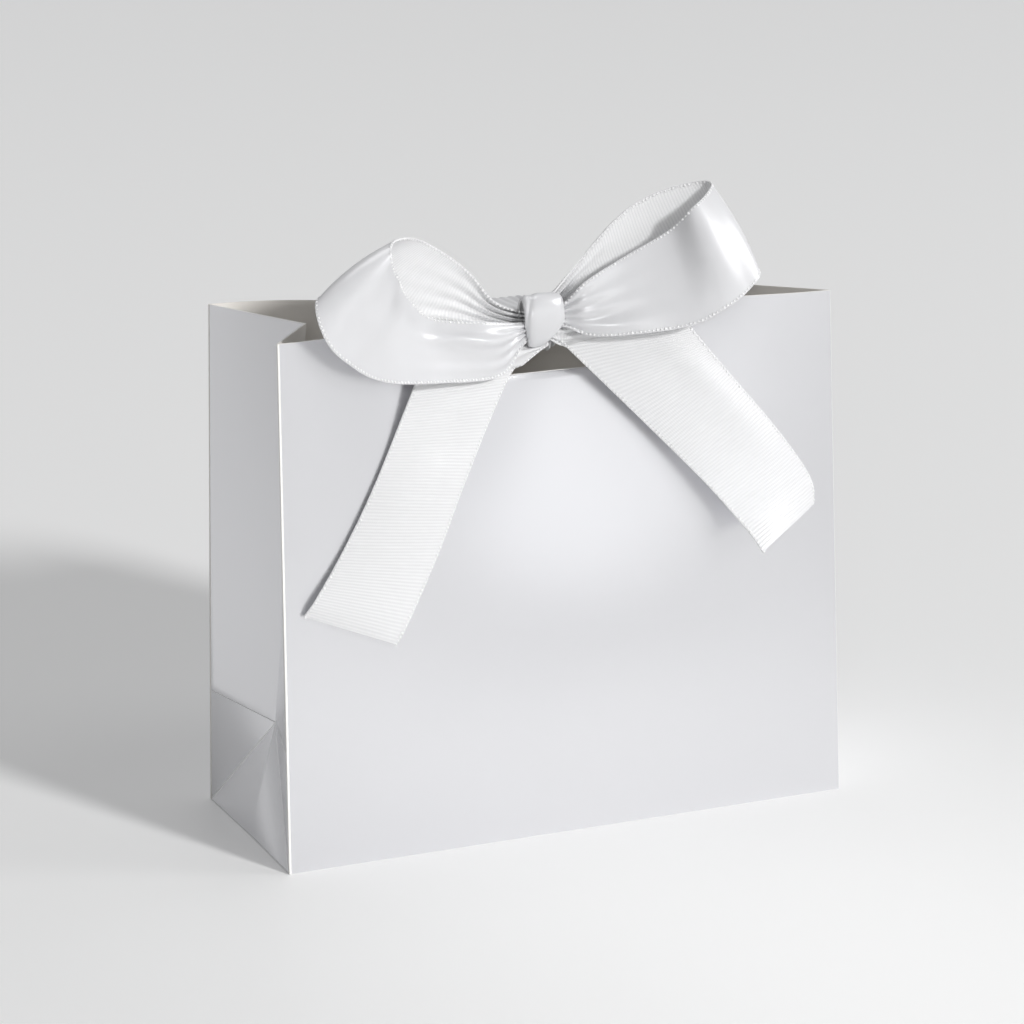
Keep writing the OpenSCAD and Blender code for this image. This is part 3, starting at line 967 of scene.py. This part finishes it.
def makeSling(s):
    corners = [(-s["yLow"], s["low"]), (s["yLow"], s["low"]),
               (s["yHigh"], s["high"]), (-s["yHigh"], s["high"])]
    path = roundedPath(corners, s["round"], s["around"])
    x = np.linspace(s["left"], s["right"], s["across"] + 1)
    grid = np.zeros((len(path), len(x), 3))
    grid[:, :, 0] = x[None, :]
    grid[:, :, 1:] = path[:, None, :]
    normal = surfaceNormals(grid, True)
    if normal[0, 0] @ (grid[0, 0] - np.array([0, 0, s["middle"]])) < 0:
        normal = -normal
    share = np.linspace(0, 1, len(x))[None, :]
    turn = np.linspace(0, 2 * math.pi, len(path), endpoint=False)[:, None]
    height = np.clip((grid[:, :, 2] - s["low"]) / (s["high"] - s["low"]), 0, 1)
    depth = s["pleatDepth"] * (s["pleatFoot"] - s["calmTop"] * height ** s["calmPower"])
    wander = s["wander"] * np.sin(turn * s["wanderTurns"])
    lift = depth * np.sin(2 * math.pi * s["pleats"] * share + wander)
    grid = grid + normal * lift[:, :, None]
    outward = 1 if surfaceNormals(grid, True)[0, s["probe"]] @ normal[0, s["probe"]] > 0 else -1
    piece = ribbonPiece("slingRibbon", grid, outward, True, s["thickness"])
    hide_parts("ribbon_sling")
    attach(piece, "front_panel")
    length = float(runLength(np.concatenate([grid[:, 0], grid[:1, 0]]))[-1])
    print("slingRibbon length", round(length, 1), "mm")


makeSling(sling)


# Knot: a gathered band wrapped round the roots of the loops
knot = {"halfDepth": 3.0, "halfHeight": 5.0, "halfWidth": 3.9, "roundness": 2.1, "around": 120, "across": 80,
        "edgeDrop": 0.42, "edgePower": 1.35 ** 3, "taper": 0.62, "taperPower": 1.4, "lean": -1.4,
        "rearPleat": 0.22, "rearPleats": 5, "slant": 0.30, "grooveDepth": 0.16,
        "thickness": 0.24, "countedShare": 0.5,
        "grooves": [(-0.62, 0.13, 0.50, 0.6), (0.50, 0.22, 0.22, 4.0)]}


def makeKnot(k):
    turn = np.linspace(0, 2 * math.pi, k["around"], endpoint=False)
    share = np.linspace(-1, 1, k["across"] + 1)
    grid = np.zeros((len(turn), len(share), 3))
    power = 2 / k["roundness"]
    for i, angle in enumerate(turn):
        y = math.copysign(abs(math.cos(angle)) ** power, math.cos(angle))
        z = math.copysign(abs(math.sin(angle)) ** power, math.sin(angle))
        narrow = max(0.0, -z) ** k["taperPower"]
        wide = k["halfWidth"] * (1 - k["taper"] * narrow)
        for j, v in enumerate(share):
            shrink = 1 - k["edgeDrop"] * abs(v) ** k["edgePower"]
            shrink -= k["rearPleat"] * max(0.0, y) * (0.5 + 0.5 * math.sin(k["rearPleats"] * math.pi * v))
            for middle, width, depth, phase in k["grooves"]:
                shift = v - middle - k["slant"] * math.sin(angle + phase)
                shrink -= k["grooveDepth"] * depth * math.exp(-(shift / width) ** 2)
            x = wide * math.sin(v * math.pi / 2) + k["lean"] * narrow
            grid[i, j] = (x, k["halfDepth"] * y * shrink, k["halfHeight"] * z * (0.5 + 0.5 * shrink))
    centre = k["across"] // 2
    outward = 1 if surfaceNormals(grid, True)[0, centre][1] > 0 else -1
    piece = ribbonPiece("knotRibbon", grid + knotPlace, outward, True, k["thickness"])
    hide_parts("ribbon_knot")
    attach(piece, "front_panel")
    length = float(runLength(np.concatenate([grid[:, centre], grid[:1, centre]]))[-1])
    print("knotRibbon length", round(length, 1), "mm")


makeKnot(knot)
print("knot made")


# Rays that show the room, apart from those that only carry its light
def seenRays(finish):
    camera = finish.node("ShaderNodeLightPath", {}, {})
    outputs = camera.socket.node.outputs
    seen = camera
    for name in ("Is Glossy Ray", "Is Transmission Ray"):
        seen = seen.maths("MAXIMUM", seen, Wire(finish.tree, outputs[name]))
    return seen


# Floor with a faint glow that only the camera sees
def makeFloor(settings):
    half = settings["floorSize"] / 2
    mesh = bpy.data.meshes.new("paleFloor")
    corners = [(-half, -half, 0), (half, -half, 0), (half, half, 0), (-half, half, 0)]
    mesh.from_pydata(corners, [], [(0, 1, 2, 3)])
    floor = bpy.data.objects.new("paleFloor", mesh)
    bpy.context.collection.objects.link(floor)
    constants = {"Roughness": settings["floorRoughness"], "Specular IOR Level": settings["floorSpecular"]}
    material, finish, shader = newFinish("paleFloor", constants)
    shader.inputs["Base Color"].default_value = (*settings["floorColour"], 1)
    shader.inputs["Emission Strength"].default_value = settings["floorGlow"]
    direct = finish.node("ShaderNodeLightPath", {}, {})
    feed(finish, shader, "Emission Color", direct.mixed((0.0, 0.0, 0.0), (1.0, 1.0, 1.0)))
    mesh.materials.append(material)


# Room that looks brighter than the light it gives, and brighter on the right
def makeWorld(settings):
    world = bpy.data.worlds.new("softRoom")
    bpy.context.scene.world = world
    world.use_nodes = True
    sky = world.node_tree.nodes["Background"]
    sky.inputs["Color"].default_value = (*settings["worldColour"], 1)
    finish = Wire(world.node_tree)
    level = seenRays(finish) * (settings["roomSeen"] - settings["worldLevel"]) + settings["worldLevel"]
    direction = finish.node("ShaderNodeTexCoord", {}, {})
    sideways = finish.node("ShaderNodeSeparateXYZ", {}, {"Vector": direction})
    level = level * (sideways * settings["rightBrighter"] + 1)
    world.node_tree.links.new(level.socket, sky.inputs["Strength"])


makeFloor(studio)
makeWorld(studio)
makeKey(studio)
makeBroad("sheenLamp", studio["sheenPlace"], studio["sheenSize"], studio["sheenPower"])
makeBroad("frontLamp", studio["frontPlace"], studio["frontSize"], studio["frontPower"])
makeBroad("creaseLamp", studio["creasePlace"], studio["creaseSize"], studio["creasePower"])
makeBroad("topLamp", studio["topPlace"], studio["topSize"], studio["topPower"])
makePool(studio)
print("light and floor made")
